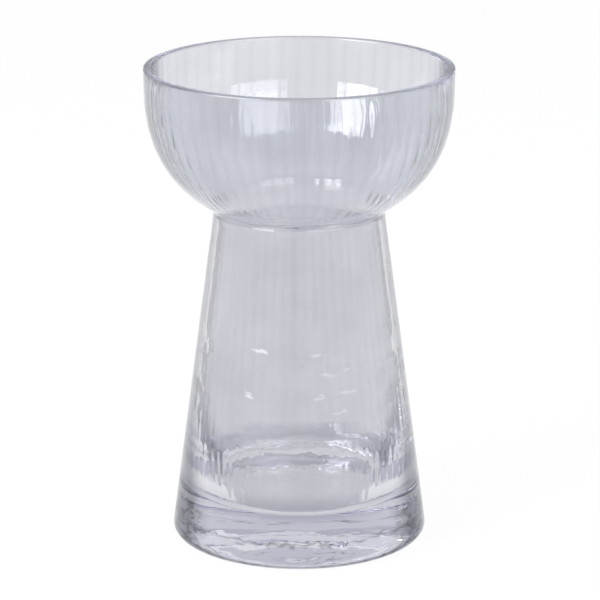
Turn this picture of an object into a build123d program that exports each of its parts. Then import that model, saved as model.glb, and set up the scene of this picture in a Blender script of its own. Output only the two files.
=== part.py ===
from build123d import *
from math import asin, cos, pi, sin, sqrt
import os

os.makedirs("parts", exist_ok=True)

# A hyacinth forcing vase of clear blown glass, in millimetres, standing on z = 0 about the Z axis.
# It is one piece of glass, modelled as three zones that meet face to face: a thick foot, a flask
# for the water that narrows upwards to the waist, and a round cup that holds the bulb above it.

# Outside of the glass
rim_diameter = 100.0
vase_height = 157.0
lip_height = 5.6              # upright band under the rim, above the cup's curve
waist_diameter = 55.2         # where the cup's curve and the flask's slope cross
waist_height = 110.6
foot_diameter = 84.5
foot_round = 3.5              # outside round where the wall turns under the foot
crease_round = 3.0            # tight outside round in the waist
cup_fullness_share = 2.33     # power of the cup's curve, where 2 would be an ellipse

# Thickness of the glass
cup_wall = 2.6
flask_wall = 2.2
bend_height = 55.0            # below this the wall thickens inwards, down to the heavy foot
bend_reach = 14.0             # how far the wall's slope draws that bend downwards
bend_rise = 15.0              # how far the foot of the bend draws it upwards
bend_swell = 5.5              # how far the foot of the bend draws it outwards
floor_thickness = 15.3        # heavy glass under the water
floor_diameter = 60.0         # where the bend would meet the inside floor
floor_round = 3.0             # inside round between the bend and the floor
throat_round = 5.0            # wide inside round in the waist, where the bulb sits
rim_edge = 0.3                # fine bevel left by cutting and polishing the rim

# Hollow under the foot, which leaves a ring to stand on
hollow_diameter = 62.0
hollow_depth = 3.2

# Points of the cup's curve, as shares of its turn from the waist to the lip
curve_point_shares = [0, 0.12, 0.26, 0.42, 0.58, 0.74, 0.88, 1]
corner_accuracy_share = 0.001

rim_radius = rim_diameter / 2
waist_radius = waist_diameter / 2
foot_radius = foot_diameter / 2
floor_radius = floor_diameter / 2
curve_top = vase_height - lip_height
floor_top = floor_thickness + floor_round
bend_foot = bend_height - bend_reach
slope = (foot_radius - waist_radius) / waist_height
waist_reach = 1 - (waist_radius / rim_radius) ** cup_fullness_share
cup_drop = (curve_top - waist_height) / waist_reach ** (1 / cup_fullness_share)


def flask_radius(height, wall):
    """Radius of the flask's straight slope at a height, with a wall's thickness taken off."""
    return foot_radius - slope * height - wall * sqrt(1 + slope ** 2)


def cup_radius(height, wall):
    """Radius of the cup's curve at a height, with a wall's thickness taken off."""
    drop = (curve_top - height) / (cup_drop - wall)
    return (rim_radius - wall) * max(1 - drop ** cup_fullness_share, 0) ** (1 / cup_fullness_share)


def throat_corner():
    """Where the inside of the cup would cross the inside of the flask, found by halving a span."""
    low, high = waist_height, curve_top
    while high - low > rim_edge * corner_accuracy_share:
        middle = (low + high) / 2
        if cup_radius(middle, cup_wall) < flask_radius(middle, flask_wall):
            low = middle
        else:
            high = middle
    return flask_radius(low, flask_wall), low


def cup_curve(wall, start_radius):
    """The cup's curve from a radius near the waist up to the lip, and its direction at the start."""
    radius = rim_radius - wall
    drop = cup_drop - wall
    power = 2 / cup_fullness_share
    start = asin((start_radius / radius) ** (1 / power))
    points = []
    for share in curve_point_shares:
        angle = start + (pi / 2 - start) * share
        points.append((radius * sin(angle) ** power, curve_top - drop * cos(angle) ** power))
    outwards = radius * sin(start) ** (power - 1) * cos(start)
    upwards = drop * cos(start) ** (power - 1) * sin(start)
    return points, (outwards, upwards)


def glass_section():
    """Half section of the glass: up the outside, over the cut rim, down the inside to the floor."""
    crease = (waist_radius, waist_height)
    throat = throat_corner()
    outer_points, outer_lean = cup_curve(0, crease[0])
    inner_points, inner_lean = cup_curve(cup_wall, throat[0])
    inner_rim = rim_radius - cup_wall
    bend_start = (flask_radius(bend_height, flask_wall), bend_height)
    first_pull = (flask_radius(bend_foot, flask_wall), bend_foot)
    second_pull = (floor_radius + bend_swell, floor_thickness + bend_rise)
    floor_corner = (floor_radius, floor_thickness)
    ring_edge = (hollow_diameter / 2, 0)
    with BuildSketch() as section:
        with BuildLine():
            TangentArc([(0, hollow_depth), ring_edge], tangent=(1, 0))
            Polyline(ring_edge, (foot_radius, 0), crease)
            Spline(outer_points, tangents=[outer_lean, (0, 1)])
            Polyline(outer_points[-1], (rim_radius, vase_height), (inner_rim, vase_height),
                     inner_points[-1])
            Spline(inner_points, tangents=[inner_lean, (0, 1)])
            Line(inner_points[0], bend_start)
            Bezier(bend_start, first_pull, second_pull, floor_corner)
            Polyline(floor_corner, (0, floor_thickness), (0, hollow_depth))
        make_face()
        for place, radius in (((foot_radius, 0), foot_round), (crease, crease_round),
                              (throat, throat_round), (floor_corner, floor_round)):
            fillet(section.vertices().sort_by_distance((*place, 0))[0], radius)
        chamfer(section.vertices().group_by(Axis.Y)[-1], rim_edge)
    return section.sketch


def save(glass, name):
    export_step(glass, f"parts/{name}.step")
    print(name, round(glass.volume), glass.is_valid, len(glass.solids()))


vase = revolve(Plane.XZ * glass_section(), Axis.Z)
foot_seam = Plane.XY.offset(floor_top)
waist_seam = Plane.XY.offset(waist_height)
above_foot = split(vase, foot_seam, keep=Keep.TOP)

# Foot: solid glass with the rounded inside floor in its top and the shallow hollow under it
heavy_foot = split(vase, foot_seam, keep=Keep.BOTTOM)
save(heavy_foot, "heavy_foot")

# Flask: the straight wall round the water, from the top of the foot to the crease of the waist
water_flask = split(above_foot, waist_seam, keep=Keep.BOTTOM)
save(water_flask, "water_flask")

# Cup: the wall round the bulb, from the crease of the waist to the cut rim
bulb_cup = split(above_foot, waist_seam, keep=Keep.TOP)
save(bulb_cup, "bulb_cup")

print("whole vase", round(vase.volume))
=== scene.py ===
import math
import bpy
import numpy as np
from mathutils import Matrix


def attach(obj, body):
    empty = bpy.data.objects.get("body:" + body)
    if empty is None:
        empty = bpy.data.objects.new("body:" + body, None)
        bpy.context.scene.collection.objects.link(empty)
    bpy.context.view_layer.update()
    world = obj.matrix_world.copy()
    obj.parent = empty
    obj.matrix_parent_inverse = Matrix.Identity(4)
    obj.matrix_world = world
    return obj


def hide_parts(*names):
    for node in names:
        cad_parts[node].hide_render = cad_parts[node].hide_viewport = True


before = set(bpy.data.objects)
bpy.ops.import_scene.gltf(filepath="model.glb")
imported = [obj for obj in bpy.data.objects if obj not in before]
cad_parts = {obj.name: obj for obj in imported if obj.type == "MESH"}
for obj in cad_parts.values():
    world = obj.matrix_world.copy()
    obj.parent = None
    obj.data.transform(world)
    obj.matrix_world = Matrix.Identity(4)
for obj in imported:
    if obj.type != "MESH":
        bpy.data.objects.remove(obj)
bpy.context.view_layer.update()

# Camera: a long lens one metre in front of the vase, a little above it and tilted down, which
# gives the round rim and the round foot the narrow ellipses that they have in the photograph.
camera_place = (0.0, -1.0, 0.3654)
camera_dip_degrees = 15.98
sensor_width_mm = 36
focal_length_mm = 190.92
sideways_shift = 0.00124

camera_data = bpy.data.cameras.new("product_camera")
camera_data.sensor_width = sensor_width_mm
camera_data.lens = focal_length_mm
camera_data.shift_x = sideways_shift
camera = bpy.data.objects.new("product_camera", camera_data)
camera.location = camera_place
camera.rotation_euler = (math.radians(90 - camera_dip_degrees), 0, 0)
bpy.context.scene.collection.objects.link(camera)
bpy.context.scene.camera = camera


# Vase: one piece of clear soda-lime glass, blown into a ribbed mould and then into a smooth one,
# which leaves its outside plain and soft optic ribs inside. The foot is thick and heavy, and the
# rim is cut level and polished. Its section is in metres, with small rounds at its cut edges.
rim_radius = 0.050
vase_height = 0.157
lip_height = 0.0056
waist_radius = 0.0276
waist_height = 0.1106
foot_radius = 0.04225
foot_round = 0.0035
crease_round = 0.0042
cup_fullness = 2.33
cup_wall = 0.0026
flask_wall = 0.0022
bend_height = 0.055              # below this the wall thickens inwards, down to the heavy foot
bend_reach = 0.014               # how far the slope of the wall draws that bend downwards
bend_rise = 0.015                # how far its foot draws it upwards
bend_swell = 0.0055              # and how far outwards
floor_radius = 0.030             # where the bend would meet the inside floor
floor_thickness = 0.0153
floor_round = 0.003
marks_top = 0.078                # cold marks reach this high inside
throat_round = 0.005
rim_edge_round = 0.0004
ring_edge_round = 0.0006
hollow_radius = 0.031
hollow_depth = 0.0032
corner_reach = 4                 # a corner's arc starts and ends within so many radii of it
fine_step = 0.00025              # spacing of the outline's points before it is thinned
widest_step = 0.007
widest_step_marked = 0.0015      # where cold marks need more points
widest_turn = math.radians(7.5)

curve_top = vase_height - lip_height
slope = (foot_radius - waist_radius) / waist_height
cup_drop = (curve_top - waist_height) / (
    1 - (waist_radius / rim_radius) ** cup_fullness) ** (1 / cup_fullness)


def flask_radius(height, wall):
    """Radius of the flask's straight slope at a height, with a wall's thickness taken off."""
    return foot_radius - slope * height - wall * math.sqrt(1 + slope ** 2)


def run(*corners):
    """Straight runs through the corners, with a point at every fine step."""
    points = [np.array(corners[0], float)]
    for start, end in zip(corners, corners[1:]):
        start, end = np.array(start, float), np.array(end, float)
        count = max(2, math.ceil(np.linalg.norm(end - start) / fine_step))
        points += [start + (end - start) * i / count for i in range(1, count + 1)]
    return np.array(points)


def arc(centre, radius, start, end):
    """Part of a circle about a centre, from one angle to another."""
    angles = np.linspace(start, end, math.ceil(abs(end - start) * radius / fine_step) + 1)
    return np.array(centre) + radius * np.stack([np.cos(angles), np.sin(angles)], 1)


def bend(start, first_pull, second_pull, end):
    """A smooth bend between two points, drawn towards the two pulls."""
    a, b, c, d = (np.array(p, float) for p in (start, first_pull, second_pull, end))
    t = np.linspace(0, 1, math.ceil(np.linalg.norm(d - a) / fine_step) + 1)[:, None]
    return (1 - t) ** 3 * a + 3 * (1 - t) ** 2 * t * b + 3 * (1 - t) * t ** 2 * c + t ** 3 * d


def cup_curve(wall, lowest):
    """The cup's curve from a height up to the lip, in even turns."""
    drop = cup_drop - wall
    power = 2 / cup_fullness
    start = math.acos(((curve_top - lowest) / drop) ** (1 / power))
    angles = np.linspace(start, math.pi / 2, math.ceil(cup_drop / fine_step) + 1)
    return np.stack([(rim_radius - wall) * np.sin(angles) ** power,
                     curve_top - drop * np.cos(angles) ** power], 1)


def rounded(before, after, radius):
    """Two runs that meet in a corner, with a ball's arc of that radius in its place."""
    def offset(line, side):
        along = np.gradient(line, axis=0)
        along /= np.linalg.norm(along, axis=1)[:, None]
        return line + side * radius * np.stack([-along[:, 1], along[:, 0]], 1)
    before_way, after_way = before[-1] - before[-2], after[1] - after[0]
    side = math.copysign(1, before_way[0] * after_way[1] - before_way[1] * after_way[0])
    first, second = offset(before, side), offset(after, side)
    reach = math.ceil(corner_reach * radius / fine_step)
    near = np.linalg.norm(first[-reach:, None] - second[None, :reach], axis=2)
    i, j = np.unravel_index(near.argmin(), near.shape)
    i += max(len(first) - reach, 0)
    centre = (first[i] + second[j]) / 2
    start, end = (np.arctan2(*(p - centre)[::-1]) for p in (before[i], after[j]))
    sweep = (end - start + math.pi) % (2 * math.pi) - math.pi
    return np.concatenate([before[:i], arc(centre, radius, start, start + sweep)[1:-1],
                           after[j + 1:]])


def throat_corner():
    """Height at which the inside of the cup would cross the inside of the flask."""
    inside = cup_curve(cup_wall, waist_height)
    gap = inside[:, 0] - np.array([flask_radius(z, flask_wall) for z in inside[:, 1]])
    return inside[np.argmax(gap > 0), 1]


def thinned(points):
    """The points that are needed for the outline to turn or run no further than the widest step."""
    radii, heights = points.T
    marked = (radii < flask_radius(heights, flask_wall / 2)) & (heights < marks_top) & (
        (heights > floor_thickness + fine_step) | (heights < hollow_depth))
    steps = np.where(marked, widest_step_marked, widest_step)
    way = np.diff(points, axis=0)
    angles = np.arctan2(way[:, 1], way[:, 0])
    kept, turned, passed = [0], 0.0, 0.0
    for i in range(1, len(points) - 1):
        turned += abs((angles[i] - angles[i - 1] + math.pi) % (2 * math.pi) - math.pi)
        passed += np.linalg.norm(way[i - 1])
        ahead = np.linalg.norm(way[i])
        if turned > widest_turn or passed + ahead > steps[i]:
            kept.append(i)
            turned, passed = 0.0, 0.0
    return points[kept + [len(points) - 1]]


throat_height = throat_corner()
hollow_sphere = (hollow_radius ** 2 + hollow_depth ** 2) / (2 * hollow_depth)
hollow_angle = math.asin(hollow_radius / hollow_sphere)
under = arc((0, hollow_depth - hollow_sphere), hollow_sphere,
            math.pi / 2, math.pi / 2 - hollow_angle)
ring = run((hollow_radius, 0), (foot_radius, 0))
outer_flask = run((foot_radius, 0), (waist_radius, waist_height))
outer_cup = np.concatenate([cup_curve(0, waist_height)[:-1],
                            run((rim_radius, curve_top), (rim_radius, vase_height))])
cut = run((rim_radius, vase_height), (rim_radius - cup_wall, vase_height))
inner_cup = np.concatenate([
    run((rim_radius - cup_wall, vase_height), (rim_radius - cup_wall, curve_top))[:-1],
    cup_curve(cup_wall, throat_height)[::-1]])
inner_flask = run((flask_radius(throat_height, flask_wall), throat_height),
                  (flask_radius(bend_height, flask_wall), bend_height))
low_bend = bend(inner_flask[-1],
                (flask_radius(bend_height - bend_reach, flask_wall), bend_height - bend_reach),
                (floor_radius + bend_swell, floor_thickness + bend_rise),
                (floor_radius, floor_thickness))
inner_floor = run((floor_radius, floor_thickness), (0, floor_thickness))

outline = under
for stretch, radius in ((ring, ring_edge_round), (outer_flask, foot_round),
                        (outer_cup, crease_round), (cut, rim_edge_round),
                        (inner_cup, rim_edge_round), (inner_flask, throat_round)):
    outline = rounded(outline, stretch, radius)
outline = thinned(rounded(np.concatenate([outline, low_bend[1:]]), inner_floor, floor_round))

# The outline goes into a mesh of points, with how strong each kind of mark is at each of them:
# soft ribs and cords of thicker glass inside, the uneven skin, and the chill marks of cold metal
# low inside, under the foot and round the waist. Pairs give a height and the share there.
rib_growth = (
    (floor_thickness + 0.004, 0.3), (floor_thickness + 0.012, 0.6), (bend_height, 0.15),
    (waist_height + 0.004, 0.15), (waist_height + 0.016, 1.0), (vase_height - 0.006, 1.0),
    (vase_height - 0.001, 0.0))
rib_end_radius = 0.75 * floor_radius     # on the floor the ribs die away inwards, to this radius
rib_end_length = 0.2 * floor_radius
cord_growth = (
    (floor_thickness + 0.010, 0.0), (bend_height, 0.55), (waist_height, 0.55),
    (waist_height + 0.010, 0.8))
chill_share_inside = 0.75
chill_growth_inside = (
    (floor_thickness + 0.001, 0.0), (floor_thickness + 0.010, 1.0), (bend_height - 0.012, 1.0),
    (bend_height, 2.5), (marks_top - 0.010, 2.5), (marks_top, 0.0))
chill_share_outside = 0.12
chill_growth_outside = ((0.0005, 0.0), (0.003, 1.0), (0.010, 1.0), (0.018, 0.0))
chill_share_narrow = 1.3         # in the hollow, and round the waist where it is as narrow
ring_margin = 0.0004             # height over which the hollow's marks grow from the ring
skin_margin = 0.010              # height over which the skin grows uneven from the ring
centre_margin = 0.003            # radius over which marks grow from the axis


def share_at(growth):
    """A share at each point of the outline, from pairs of a height and the share there."""
    return np.interp(heights, *zip(*growth))


section = bpy.data.meshes.new("vase_section")
section.from_pydata([(r, 0, z) for r, z in outline],
                    [(i, i + 1) for i in range(len(outline) - 1)], [])
along = np.gradient(outline, axis=0)
along /= np.linalg.norm(along, axis=1)[:, None]
outwards = np.stack([along[:, 1], np.zeros(len(outline)), -along[:, 0]], 1)
radii, heights = outline[:, 0], outline[:, 1]
past_rim = np.arange(len(outline)) > int(np.argmax(heights > vase_height - rim_edge_round / 2))
inside = past_rim & (heights < vase_height - rim_edge_round)
narrow_outside = ~past_rim & (heights > 0) & (radii < hollow_radius)
from_centre = np.clip(radii / centre_margin, 0, 1)
rib_shares = inside * share_at(rib_growth)
rib_shares *= np.clip((radii - rib_end_radius) / rib_end_length, 0, 1)
cord_shares = inside * share_at(cord_growth)
chill_shares = chill_share_narrow * narrow_outside * np.clip(heights / ring_margin, 0, 1)
chill_shares += chill_share_inside * inside * share_at(chill_growth_inside)
chill_shares += chill_share_outside * ~past_rim * (radii > hollow_radius) * share_at(
    chill_growth_outside)
chill_shares *= from_centre
skin_shares = np.clip(heights / skin_margin, 0, 1) * (heights < vase_height - rim_edge_round)
skin_shares *= from_centre
facing = section.attributes.new("outwards", "FLOAT_VECTOR", "POINT")
facing.data.foreach_set("vector", outwards.astype(np.float32).ravel())
for name, shares in (("rib_share", rib_shares), ("chill_share", chill_shares),
                     ("skin_share", skin_shares), ("cord_share", cord_shares)):
    marks = section.attributes.new(name, "FLOAT", "POINT")
    marks.data.foreach_set("value", shares.astype(np.float32))
vase_section = bpy.data.objects.new("vase_section", section)
bpy.context.scene.collection.objects.link(vase_section)


def linear(hex_colour):
    """A colour written as sRGB hex, turned to the linear values that shaders take."""
    shares = [int(hex_colour[i:i + 2], 16) / 255 for i in (1, 3, 5)]
    return tuple(s / 12.92 if s <= 0.04045 else ((s + 0.055) / 1.055) ** 2.4
                 for s in shares) + (1.0,)


def add_node(tree, kind, settings=None, links=None):
    """One node: settings are its properties, or values for its inputs, and links feed inputs."""
    node = tree.nodes.new(kind)
    for key, value in (settings or {}).items():
        if isinstance(key, str) and hasattr(node, key):
            setattr(node, key, value)
        else:
            node.inputs[key].default_value = value
    for key, source in (links or {}).items():
        tree.links.new(source, node.inputs[key])
    return node


# Soda-lime glass, blown and fire-polished: clear and wet-looking, with a faint cool grey in its
# walls and blue in the foot.
# Towards the sides, where a face turns from the eye, painted shade darkens it: partly the longer
# way through the tinted wall, mostly shade painted in.
wall_light = linear("#E9E9ED")
wall_dark = linear("#D8D8DD")     # where a rib or a cord makes the wall thicker
cloud_scale = 60.0               # soft clouds between the two, 17 mm wide
cord_depth = 0.7                 # how strongly the ribs and cords show among the clouds
cup_cool = linear("#FCFEFF")
# painted shade: the cut rim's face is painted grey
painted_rim_shade = linear("#CFCFD2")
foot_clear = linear("#E8E8EA")
heel_grey = linear("#D6D7DD")     # where the wall thickens into the foot
zones = {                        # height at which each starts, and at which it is full
    "cup": (waist_height, waist_height + 0.010),
    "rim": (vase_height - 0.0012, vase_height - 0.0003),
    "foot": (floor_thickness + 0.004, floor_thickness - 0.001),
    "above_floor": (floor_thickness, floor_thickness + 0.003),
    "below_bend": (floor_thickness + 0.010, floor_thickness + 0.004)}
# painted shade: the dark that the walls are painted towards their sides
painted_edge_shade = linear("#50525C")
edge_share_high = 0.8            # above the bend, where the wall is thin
edge_from_high = 0.55            # how far a face has turned away from the eye when it darkens
edge_from_low = 0.3              # the thick wall low down does so sooner
edge_width = 0.26
upright_from = 0.9               # level glass gets no painted edge shade: 1 lies flat, 0 stands
upright_full = 0.5
# painted shade on the foot: dark streaks at its sides and a dark wavy line round it
painted_foot_shade = linear("#202128")
streak_scale = 130.0             # painted dark streaks 5 mm long and 3 mm high
streak_stretch = (1.6, 1.6, 3)
streak_from = 0.49
streak_full = 0.55
line_height = 0.0088             # a thin wavy line of painted shade round the foot
line_width = 0.0009
line_wander = 0.006
line_darkness = 0.75
peel_height = 0.00002
peel_scale = 160.0               # the faint orange peel of blown glass, 6 mm from wave to wave
ripple_height = 0.00004          # short ripples in the skin that set against cold metal
ripple_scale = 300.0             # 3 mm long and half as high
ripple_stretch = (1, 1, 2)
cold_roughness = 0.02            # these marks are a little duller than the wet skin round them
rim_roughness = 0.3              # the cut rim is ground and only then polished, so it is satin
glass_ior = 1.52
foot_blue = linear("#B4B8D0")
foot_blue_density = 6.0

glass = bpy.data.materials.new("blown_soda_lime_glass")
glass.use_nodes = True
glass_tree = glass.node_tree
glass_tree.nodes.clear()
place = add_node(glass_tree, "ShaderNodeTexCoord").outputs["Object"]
height_up = add_node(glass_tree, "ShaderNodeSeparateXYZ", {}, {0: place}).outputs["Z"]
in_zone = {}
for name, (start, full) in zones.items():
    in_zone[name] = add_node(glass_tree, "ShaderNodeMapRange",
                             {"interpolation_type": "SMOOTHSTEP", "From Min": start,
                              "From Max": full}, {"Value": height_up}).outputs[0]
in_heel = add_node(glass_tree, "ShaderNodeMath", {"operation": "MULTIPLY"},
                   {0: in_zone["above_floor"], 1: in_zone["below_bend"]}).outputs[0]

# The wall's own tint, darker where clouds, ribs and cords make it deeper
clouds = add_node(glass_tree, "ShaderNodeTexNoise", {"Scale": cloud_scale, "Detail": 2.0},
                  {"Vector": place}).outputs[0]
cord_here = add_node(glass_tree, "ShaderNodeAttribute",
                     {"attribute_name": "cord_wave"}).outputs["Fac"]
wall_depth = add_node(glass_tree, "ShaderNodeMath",
                      {"operation": "MULTIPLY_ADD", 1: cord_depth},
                      {0: cord_here, 2: clouds}).outputs[0]
wall_tint = add_node(glass_tree, "ShaderNodeMix",
                     {"data_type": "RGBA", 6: wall_light, 7: wall_dark},
                     {"Factor": wall_depth}).outputs[2]

# Painted shade towards the sides, where a face turns from the eye and the wall stands upright:
# partly the longer way through the tinted wall, mostly painted in
edge_shade_strength = add_node(glass_tree, "ShaderNodeMapRange",
                      {"interpolation_type": "SMOOTHSTEP", "From Min": bend_height,
                       "From Max": floor_thickness, "To Min": edge_share_high, "To Max": 1.0},
                      {"Value": height_up}).outputs[0]
edge_start = add_node(glass_tree, "ShaderNodeMapRange",
                      {"From Min": floor_thickness, "From Max": bend_height,
                       "To Min": edge_from_low, "To Max": edge_from_high},
                      {"Value": height_up}).outputs[0]
turned_away = add_node(glass_tree, "ShaderNodeLayerWeight", {"Blend": 0.5}).outputs["Facing"]
past_start = add_node(glass_tree, "ShaderNodeMath", {"operation": "SUBTRACT"},
                      {0: turned_away, 1: edge_start}).outputs[0]
edge_shade_by_facing = add_node(glass_tree, "ShaderNodeMapRange",
                      {"interpolation_type": "SMOOTHSTEP", "From Max": edge_width},
                      {"Value": past_start, "To Max": edge_shade_strength}).outputs[0]
faces = add_node(glass_tree, "ShaderNodeNewGeometry").outputs["Normal"]
faces_up = add_node(glass_tree, "ShaderNodeSeparateXYZ", {}, {0: faces}).outputs["Z"]
level = add_node(glass_tree, "ShaderNodeMath", {"operation": "ABSOLUTE"},
                 {0: faces_up}).outputs[0]
upright = add_node(glass_tree, "ShaderNodeMapRange",
                   {"interpolation_type": "SMOOTHSTEP", "From Min": upright_from,
                    "From Max": upright_full}, {"Value": level}).outputs[0]
edge_shade_share = add_node(glass_tree, "ShaderNodeMath", {"operation": "MULTIPLY"},
                      {0: edge_shade_by_facing, 1: upright}).outputs[0]

# Painted shade: dark streaks at the sides of the foot, and a dark wavy line round it
stretched = add_node(glass_tree, "ShaderNodeMapping", {"Scale": streak_stretch},
                     {"Vector": place}).outputs[0]
streaks = add_node(glass_tree, "ShaderNodeTexNoise",
                   {"Scale": streak_scale, "Detail": 3.0, "Distortion": 1.2},
                   {"Vector": stretched}).outputs[0]
streak_here = add_node(glass_tree, "ShaderNodeMapRange",
                       {"interpolation_type": "SMOOTHSTEP", "From Min": streak_from,
                        "From Max": streak_full}, {"Value": streaks}).outputs[0]
low_side = add_node(glass_tree, "ShaderNodeMath", {"operation": "MULTIPLY"},
                    {0: edge_shade_share, 1: in_zone["foot"]}).outputs[0]
streak_share = add_node(glass_tree, "ShaderNodeMath", {"operation": "MULTIPLY"},
                        {0: streak_here, 1: low_side}).outputs[0]
line_shift = add_node(glass_tree, "ShaderNodeMath",
                      {"operation": "MULTIPLY_ADD", 1: line_wander, 2: -0.5 * line_wander},
                      {0: streaks}).outputs[0]
line_place = add_node(glass_tree, "ShaderNodeMath", {"operation": "ADD"},
                      {0: height_up, 1: line_shift}).outputs[0]
line_off = add_node(glass_tree, "ShaderNodeMath", {"operation": "SUBTRACT", 1: line_height},
                    {0: line_place}).outputs[0]
line_far = add_node(glass_tree, "ShaderNodeMath", {"operation": "ABSOLUTE"},
                    {0: line_off}).outputs[0]
painted_line_share = add_node(glass_tree, "ShaderNodeMapRange",
                     {"interpolation_type": "SMOOTHSTEP", "From Min": line_width,
                      "From Max": 0.0, "To Max": line_darkness}, {"Value": line_far}).outputs[0]

# The tints and the painted shades in turn, each over the one before
tint = wall_tint
for blend, colour, share in (("MULTIPLY", cup_cool, in_zone["cup"]),
                             ("MIX", painted_rim_shade, in_zone["rim"]),
                             ("MIX", foot_clear, in_zone["foot"]),
                             ("MULTIPLY", heel_grey, in_heel),
                             ("MIX", painted_edge_shade, edge_shade_share),
                             ("MIX", painted_foot_shade, streak_share),
                             ("MIX", painted_foot_shade, painted_line_share)):
    tint = add_node(glass_tree, "ShaderNodeMix",
                    {"data_type": "RGBA", "blend_type": blend, 7: colour},
                    {"Factor": share, 6: tint}).outputs[2]

# Fine waves in the skin, and its dullness at the cold marks and the cut rim
peel = add_node(glass_tree, "ShaderNodeTexNoise", {"Scale": peel_scale, "Detail": 1.0},
                {"Vector": place}).outputs[0]
peel_bump = add_node(glass_tree, "ShaderNodeBump", {"Strength": 1.0, "Distance": peel_height},
                     {"Height": peel}).outputs[0]
squashed = add_node(glass_tree, "ShaderNodeMapping", {"Scale": ripple_stretch},
                    {"Vector": place}).outputs[0]
ripple = add_node(glass_tree, "ShaderNodeTexNoise", {"Scale": ripple_scale, "Detail": 1.0},
                  {"Vector": squashed}).outputs[0]
cold_here = add_node(glass_tree, "ShaderNodeAttribute",
                     {"attribute_name": "cold_marks"}).outputs["Fac"]
ripple_here = add_node(glass_tree, "ShaderNodeMath", {"operation": "MULTIPLY"},
                       {0: ripple, 1: cold_here}).outputs[0]
wet_skin = add_node(glass_tree, "ShaderNodeBump", {"Strength": 1.0, "Distance": ripple_height},
                    {"Height": ripple_here, "Normal": peel_bump}).outputs[0]
cold_dullness = add_node(glass_tree, "ShaderNodeMath",
                         {"operation": "MULTIPLY", 1: cold_roughness},
                         {0: ripple_here}).outputs[0]
dullness = add_node(glass_tree, "ShaderNodeMath",
                    {"operation": "MULTIPLY_ADD", 1: rim_roughness},
                    {0: in_zone["rim"], 2: cold_dullness}).outputs[0]
clear_body = add_node(glass_tree, "ShaderNodeBsdfPrincipled",
                      {"IOR": glass_ior, "Transmission Weight": 1.0},
                      {"Base Color": tint, "Roughness": dullness, "Normal": wet_skin}).outputs[0]
depth_tint = add_node(glass_tree, "ShaderNodeVolumeAbsorption",
                      {"Color": foot_blue, "Density": foot_blue_density}).outputs[0]
add_node(glass_tree, "ShaderNodeOutputMaterial", {},
         {"Surface": clear_body, "Volume": depth_tint})

# The section is turned about the axis, as the glass was in its mould, and the ribs are pressed in
# on the way round. They lean and wander a little, as they do where the second mould smooths them.
# What each point knows of its cords and cold marks goes along for the material.
steps_round = 560                # ten to a rib
rib_count = 56
rib_height = 0.0001
fine_ribs_per_rib = 2.0          # one on each rib, and one between each two
fine_rib_share = 0.35
rib_lean = math.radians(38)      # how far a rib turns round the axis, per metre of height
rib_wander = 1.6                 # in radians of the ribs' own wave
skin_height = 0.000025
chill_height = 0.00045
wander_scale = 16.0              # one wander of a rib every 60 mm or so
skin_scale = 90.0                # soft waves 11 mm long
chill_scale = 100.0              # chill marks 10 mm long and 3 mm high
chill_flatness = 3.0
cord_scale = 110.0               # cords 9 mm wide where the wall's radius is 35 mm
cord_radius = 0.035
cord_length_share = 0.1          # and ten times as long
cord_contrast = 4.0              # their noise runs from -2 to 2
cord_rib_share = 0.6             # part of a rib's own wave in them
weld_distance = 0.000001         # closes the mesh where the turn ends, and on the axis
mark_seed = 3.0

turning = bpy.data.node_groups.new("turn_section_and_press_ribs", "GeometryNodeTree")
turning.interface.new_socket("Geometry", in_out="OUTPUT", socket_type="NodeSocketGeometry")
for name, kind in (("Section", "Geometry"), ("Steps Round", "Int"), ("Rib Count", "Int"),
                   ("Rib Height", "Float"), ("Fine Rib Share", "Float"),
                   ("Rib Lean", "Float"), ("Rib Wander", "Float"),
                   ("Skin Height", "Float"), ("Chill Height", "Float"), ("Seed", "Float"),
                   ("Glass", "Material")):
    turning.interface.new_socket(name, in_out="INPUT", socket_type="NodeSocket" + kind)
given = add_node(turning, "NodeGroupInput").outputs
rows = add_node(turning, "GeometryNodeAttributeDomainSize", {"component": "MESH"},
                {"Geometry": given["Section"]}).outputs["Point Count"]
columns = add_node(turning, "FunctionNodeIntegerMath", {"operation": "ADD", 1: 1},
                   {0: given["Steps Round"]}).outputs[0]
sheet = add_node(turning, "GeometryNodeMeshGrid", {},
                 {"Vertices X": columns, "Vertices Y": rows}).outputs[0]
index = add_node(turning, "GeometryNodeInputIndex").outputs[0]
column = add_node(turning, "FunctionNodeIntegerMath", {"operation": "DIVIDE_FLOOR"},
                  {0: index, 1: rows}).outputs[0]
row = add_node(turning, "FunctionNodeIntegerMath", {"operation": "MODULO"},
               {0: index, 1: rows}).outputs[0]
angle = add_node(turning, "ShaderNodeMapRange", {"clamp": False, "To Max": 2 * math.pi},
                 {"Value": column, "From Max": given["Steps Round"]}).outputs[0]
section_place = add_node(turning, "GeometryNodeInputPosition").outputs[0]
spot = add_node(turning, "GeometryNodeSampleIndex", {"data_type": "FLOAT_VECTOR"},
                {"Geometry": given["Section"], "Value": section_place, "Index": row}).outputs[0]
marks = {}
for name, kind in (("outwards", "FLOAT_VECTOR"), ("rib_share", "FLOAT"),
                   ("skin_share", "FLOAT"), ("chill_share", "FLOAT"),
                   ("cord_share", "FLOAT")):
    value = add_node(turning, "GeometryNodeInputNamedAttribute",
                     {"data_type": kind, "Name": name}).outputs[0]
    marks[name] = add_node(turning, "GeometryNodeSampleIndex", {"data_type": kind},
                           {"Geometry": given["Section"], "Value": value,
                            "Index": row}).outputs[0]
smooth_spot = add_node(turning, "ShaderNodeVectorRotate", {"rotation_type": "Z_AXIS"},
                       {"Vector": spot, "Angle": angle}).outputs[0]
height = add_node(turning, "ShaderNodeSeparateXYZ", {}, {0: spot}).outputs["Z"]
turned = add_node(turning, "ShaderNodeMath", {"operation": "MULTIPLY_ADD"},
                  {0: height, 1: given["Rib Lean"], 2: angle}).outputs[0]
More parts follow.
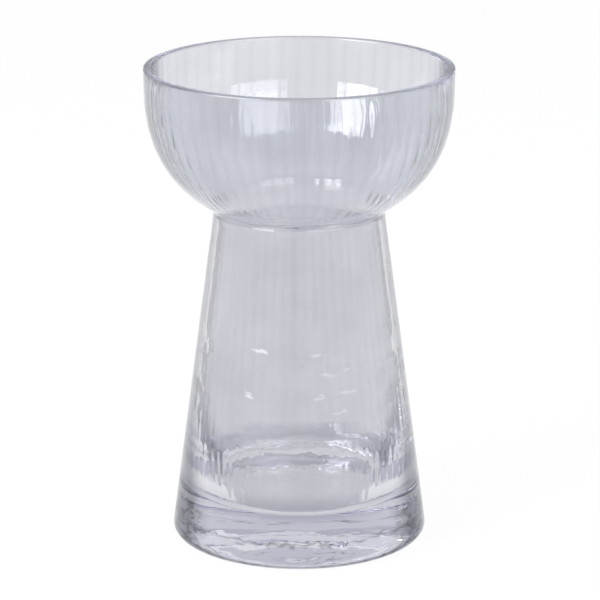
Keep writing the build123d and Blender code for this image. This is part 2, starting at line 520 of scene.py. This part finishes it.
flattened = add_node(turning, "ShaderNodeVectorMath",
                     {"operation": "MULTIPLY", 1: (1, 1, chill_flatness)},
                     {0: smooth_spot}).outputs[0]
noises = {}
for name, scale, across in (("wander", wander_scale, smooth_spot),
                            ("skin", skin_scale, smooth_spot),
                            ("chill", chill_scale, flattened)):
    noise = add_node(turning, "ShaderNodeTexNoise",
                     {"noise_dimensions": "4D", "Scale": scale, "Detail": 1.0},
                     {"Vector": across, "W": given["Seed"]}).outputs[0]
    noises[name] = add_node(turning, "ShaderNodeMath", {"operation": "SUBTRACT", 1: 0.5},
                            {0: noise}).outputs[0]
wandered = add_node(turning, "ShaderNodeMath", {"operation": "MULTIPLY"},
                    {0: noises["wander"], 1: given["Rib Wander"]}).outputs[0]
phase = add_node(turning, "ShaderNodeMath", {"operation": "MULTIPLY_ADD"},
                 {0: turned, 1: given["Rib Count"], 2: wandered}).outputs[0]
main_wave = add_node(turning, "ShaderNodeMath", {"operation": "COSINE"}, {0: phase}).outputs[0]
fine_phase = add_node(turning, "ShaderNodeMath",
                      {"operation": "MULTIPLY_ADD", 1: fine_ribs_per_rib},
                      {0: phase, 2: wandered}).outputs[0]
fine_wave = add_node(turning, "ShaderNodeMath", {"operation": "COSINE"},
                     {0: fine_phase}).outputs[0]
wave = add_node(turning, "ShaderNodeMath", {"operation": "MULTIPLY_ADD"},
                {0: fine_wave, 1: given["Fine Rib Share"], 2: main_wave}).outputs[0]
half_wave = add_node(turning, "ShaderNodeMath", {"operation": "MULTIPLY", 1: 0.5},
                     {0: wave}).outputs[0]
proud = None
for shape, share, size in ((half_wave, "rib_share", "Rib Height"),
                           (noises["skin"], "skin_share", "Skin Height"),
                           (noises["chill"], "chill_share", "Chill Height")):
    here = add_node(turning, "ShaderNodeMath", {"operation": "MULTIPLY"},
                    {0: marks[share], 1: given[size]}).outputs[0]
    proud = add_node(turning, "ShaderNodeMath", {"operation": "MULTIPLY_ADD", 2: 0.0},
                     {0: shape, 1: here, **({2: proud} if proud else {})}).outputs[0]
push = add_node(turning, "ShaderNodeVectorMath", {"operation": "SCALE"},
                {0: marks["outwards"], "Scale": proud}).outputs[0]
marked_spot = add_node(turning, "ShaderNodeVectorMath", {"operation": "ADD"},
                       {0: spot, 1: push}).outputs[0]
final_spot = add_node(turning, "ShaderNodeVectorRotate", {"rotation_type": "Z_AXIS"},
                      {"Vector": marked_spot, "Angle": angle}).outputs[0]
shaped = add_node(turning, "GeometryNodeSetPosition", {},
                  {"Geometry": sheet, "Position": final_spot}).outputs[0]
long_way = add_node(turning, "ShaderNodeMath", {"operation": "MULTIPLY", 1: cord_length_share},
                    {0: height}).outputs[0]
cord_line = add_node(turning, "ShaderNodeCombineXYZ", {"X": cord_radius},
                     {"Z": long_way}).outputs[0]
cord_place = add_node(turning, "ShaderNodeVectorRotate", {"rotation_type": "Z_AXIS"},
                      {"Vector": cord_line, "Angle": turned}).outputs[0]
cord_noise = add_node(turning, "ShaderNodeTexNoise",
                      {"noise_dimensions": "4D", "Scale": cord_scale, "Detail": 2.0},
                      {"Vector": cord_place, "W": given["Seed"]}).outputs[0]
cord_bands = add_node(turning, "ShaderNodeMath",
                      {"operation": "MULTIPLY_ADD", 1: cord_contrast, 2: -0.5 * cord_contrast},
                      {0: cord_noise}).outputs[0]
cords = add_node(turning, "ShaderNodeMath", {"operation": "MULTIPLY_ADD", 1: cord_rib_share},
                 {0: half_wave, 2: cord_bands}).outputs[0]
cord_wave = add_node(turning, "ShaderNodeMath", {"operation": "MULTIPLY"},
                     {0: cords, 1: marks["cord_share"]}).outputs[0]
for name, value in (("cord_wave", cord_wave), ("cold_marks", marks["chill_share"])):
    shaped = add_node(turning, "GeometryNodeStoreNamedAttribute",
                      {"data_type": "FLOAT", "domain": "POINT", "Name": name},
                      {"Geometry": shaped, "Value": value}).outputs[0]
closed = add_node(turning, "GeometryNodeMergeByDistance", {"Distance": weld_distance},
                  {"Geometry": shaped}).outputs[0]
smooth = add_node(turning, "GeometryNodeSetShadeSmooth", {}, {"Geometry": closed}).outputs[0]
real = add_node(turning, "GeometryNodeRealizeInstances", {}, {"Geometry": smooth}).outputs[0]
finished = add_node(turning, "GeometryNodeSetMaterial", {},
                    {"Geometry": real, "Material": given["Glass"]}).outputs[0]
add_node(turning, "NodeGroupOutput", {}, {0: finished})

blowing = vase_section.modifiers.new("turn_and_press", "NODES")
blowing.node_group = turning
values = {"Steps Round": steps_round, "Rib Count": rib_count, "Rib Height": rib_height,
          "Fine Rib Share": fine_rib_share, "Rib Lean": rib_lean, "Rib Wander": rib_wander,
          "Skin Height": skin_height, "Chill Height": chill_height, "Seed": mark_seed,
          "Glass": glass}
for socket in turning.interface.items_tree:
    if socket.name in values:
        blowing[socket.identifier] = values[socket.name]
vase_mesh = bpy.data.meshes.new_from_object(
    vase_section.evaluated_get(bpy.context.evaluated_depsgraph_get()))
bpy.data.objects.remove(vase_section)
vase = bpy.data.objects.new("blown_glass_vase", vase_mesh)
bpy.context.scene.collection.objects.link(vase)
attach(vase, "root")
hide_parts("heavy_foot", "water_flask", "bulb_cup")

# Floor: a wide sheet of pale matt card, which runs past the view and keeps a soft shadow. Most of
# its white is the card's own glow, which shows to the eye and through the glass and lights nothing.
floor_half = 4.0
card_pale = linear("#F6F6F8")
card_light = linear("#FAFAFB")
fibre_scale = 400.0              # flecks drawn 2.5 mm wide, as finer ones wouldn't show
floor_glow_share = 0.93
glow_white = (1, 1, 1, 1)

floor_mesh = bpy.data.meshes.new("pale_floor")
floor_mesh.from_pydata([(-floor_half, -floor_half, 0), (floor_half, -floor_half, 0),
                        (floor_half, floor_half, 0), (-floor_half, floor_half, 0)],
                       [], [(0, 1, 2, 3)])
floor = bpy.data.objects.new("pale_floor", floor_mesh)
bpy.context.scene.collection.objects.link(floor)
card = bpy.data.materials.new("matt_card")
card.use_nodes = True
card_tree = card.node_tree
card_tree.nodes.clear()
card_place = add_node(card_tree, "ShaderNodeTexCoord").outputs["Object"]
fibres = add_node(card_tree, "ShaderNodeTexNoise", {"Scale": fibre_scale, "Detail": 3.0},
                  {"Vector": card_place}).outputs[0]
card_colour = add_node(card_tree, "ShaderNodeMix",
                       {"data_type": "RGBA", 6: card_pale, 7: card_light},
                       {"Factor": fibres}).outputs[2]
matt = add_node(card_tree, "ShaderNodeBsdfDiffuse", {}, {"Color": card_colour}).outputs[0]
glow = add_node(card_tree, "ShaderNodeEmission",
                {"Color": glow_white, "Strength": 1.0}).outputs[0]
ray = add_node(card_tree, "ShaderNodeLightPath").outputs
seen = ray["Is Camera Ray"]
for other_ray in ("Is Glossy Ray", "Is Transmission Ray"):
    seen = add_node(card_tree, "ShaderNodeMath", {"operation": "MAXIMUM"},
                    {0: seen, 1: ray[other_ray]}).outputs[0]
glow_share = add_node(card_tree, "ShaderNodeMath",
                      {"operation": "MULTIPLY", 1: floor_glow_share}, {0: seen}).outputs[0]
card_mix = add_node(card_tree, "ShaderNodeMixShader", {},
                    {0: glow_share, 1: matt, 2: glow}).outputs[0]
add_node(card_tree, "ShaderNodeOutputMaterial", {}, {"Surface": card_mix})
floor_mesh.materials.append(card)

# Light: two tall soft windows stand in front of the vase, a bright one on the left and a dimmer
# one on the right, in a pale room. The room is greyer high up on the windows' side of the vase,
# and the many bounces let the light through wall after wall of the glass.
window_distance = 1.3
window_sill = 0.22
windows = (                      # degrees to the right of straight in front, width, top, radiance
    ("left_window", -51, 0.8, 1.6, 9.0),
    ("right_window", 35, 1.1, 1.8, 3.6))
horizon_colour = linear("#F0F1F6")
room_colour = linear("#A4A6AD")
world_strength = 0.93
grey_from_rise = 0.03            # how far up one looks: 0 is level and 1 is straight up
grey_full_rise = 0.45
grey_from_back = 0.3             # how far back: 1 is away from the windows' side, -1 towards it
grey_full_back = -0.2
light_bounces = 48

for name, azimuth, width, head, radiance in windows:
    lamp_data = bpy.data.lights.new(name, "AREA")
    lamp_data.shape = "RECTANGLE"
    lamp_data.size, lamp_data.size_y = width, head - window_sill
    lamp_data.energy = radiance * math.pi * width * (head - window_sill)
    lamp = bpy.data.objects.new(name, lamp_data)
    turn = math.radians(azimuth)
    lamp.location = (window_distance * math.sin(turn), -window_distance * math.cos(turn),
                     (window_sill + head) / 2)
    lamp.rotation_euler = (math.radians(90), 0, turn)
    lamp.visible_camera = False
    bpy.context.scene.collection.objects.link(lamp)

world = bpy.data.worlds.new("pale_room")
world.use_nodes = True
world_tree = world.node_tree
world_tree.nodes.clear()
way = add_node(world_tree, "ShaderNodeTexCoord").outputs["Generated"]
way_parts = add_node(world_tree, "ShaderNodeSeparateXYZ", {}, {0: way}).outputs
rise = add_node(world_tree, "ShaderNodeMapRange",
                {"interpolation_type": "SMOOTHSTEP", "From Min": grey_from_rise,
                 "From Max": grey_full_rise}, {"Value": way_parts["Z"]}).outputs[0]
in_front = add_node(world_tree, "ShaderNodeMapRange",
                    {"interpolation_type": "SMOOTHSTEP", "From Min": grey_from_back,
                     "From Max": grey_full_back}, {"Value": way_parts["Y"]}).outputs[0]
grey_share = add_node(world_tree, "ShaderNodeMath", {"operation": "MULTIPLY"},
                      {0: rise, 1: in_front}).outputs[0]
sky_colour = add_node(world_tree, "ShaderNodeMix",
                      {"data_type": "RGBA", 6: horizon_colour, 7: room_colour},
                      {"Factor": grey_share}).outputs[2]
room = add_node(world_tree, "ShaderNodeBackground", {"Strength": world_strength},
                {"Color": sky_colour}).outputs[0]
add_node(world_tree, "ShaderNodeOutputWorld", {}, {"Surface": room})
bpy.context.scene.world = world
bpy.context.scene.view_settings.view_transform = "Standard"
bpy.context.scene.cycles.max_bounces = light_bounces
bpy.context.scene.cycles.transmission_bounces = light_bounces
bpy.context.scene.cycles.glossy_bounces = light_bounces
